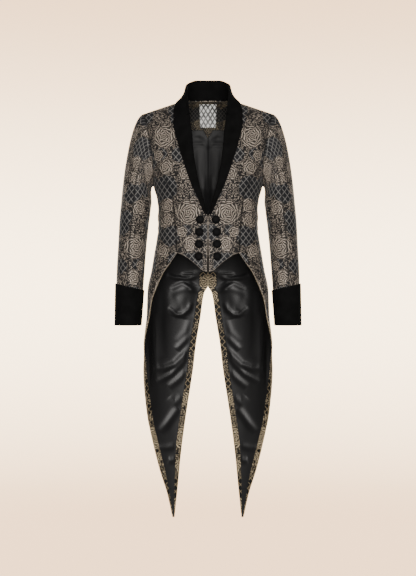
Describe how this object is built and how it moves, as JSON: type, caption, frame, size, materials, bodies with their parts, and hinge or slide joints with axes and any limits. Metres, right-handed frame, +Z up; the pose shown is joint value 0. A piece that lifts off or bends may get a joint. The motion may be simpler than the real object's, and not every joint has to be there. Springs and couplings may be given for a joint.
{
  "type": "tailcoat",
  "caption": "Formal tailcoat in patterned brocade, shown filled out as worn, with velvet shawl collar and cuffs, covered buttons and two long tapering tails.",
  "frame": {"origin": "between the shoulder seams at neck height, where the wearer's shoulders hold the coat up", "axes": "+X towards the coat's own left, -Y out of its front, +Z up"},
  "size_m": [0.5566, 0.248, 1.337],
  "materials": {
    "brocade": "woven brocade, taupe roses and lattice on slate and near-black, low sheen",
    "facing_brocade": "woven brocade, bronze, low sheen",
    "velvet": "black cotton velvet, short pile",
    "button_velvet": "black velvet over a domed button",
    "satin_lining": "black satin, soft highlights",
    "label_satin": "silver-white satin, no text"
  },
  "bodies": {
    "root": {"back_L": "brocade", "back_R": "brocade", "button_1": "button_velvet", "button_2": "button_velvet", "button_3": "button_velvet", "button_4": "button_velvet", "button_5": "button_velvet", "button_6": "button_velvet", "button_7": "button_velvet", "button_8": "button_velvet", "collar": "velvet", "cuff_L": "velvet", "cuff_R": "velvet", "edge_facing_L": "facing_brocade", "edge_facing_R": "facing_brocade", "front_L": "brocade", "front_R": "brocade", "label": "label_satin", "lapel_L": "velvet", "lapel_R": "velvet", "lining_back_L": "satin_lining", "lining_back_R": "satin_lining", "neck_facing": "facing_brocade", "side_L": "brocade", "side_R": "brocade", "sleeve_under_L": "brocade", "sleeve_under_R": "brocade", "sleeve_upper_L": "brocade", "sleeve_upper_R": "brocade", "tail_lining_L": "satin_lining", "tail_lining_R": "satin_lining", "vent_facing_L": "facing_brocade", "vent_facing_R": "facing_brocade"}
  },
  "joints": []
}
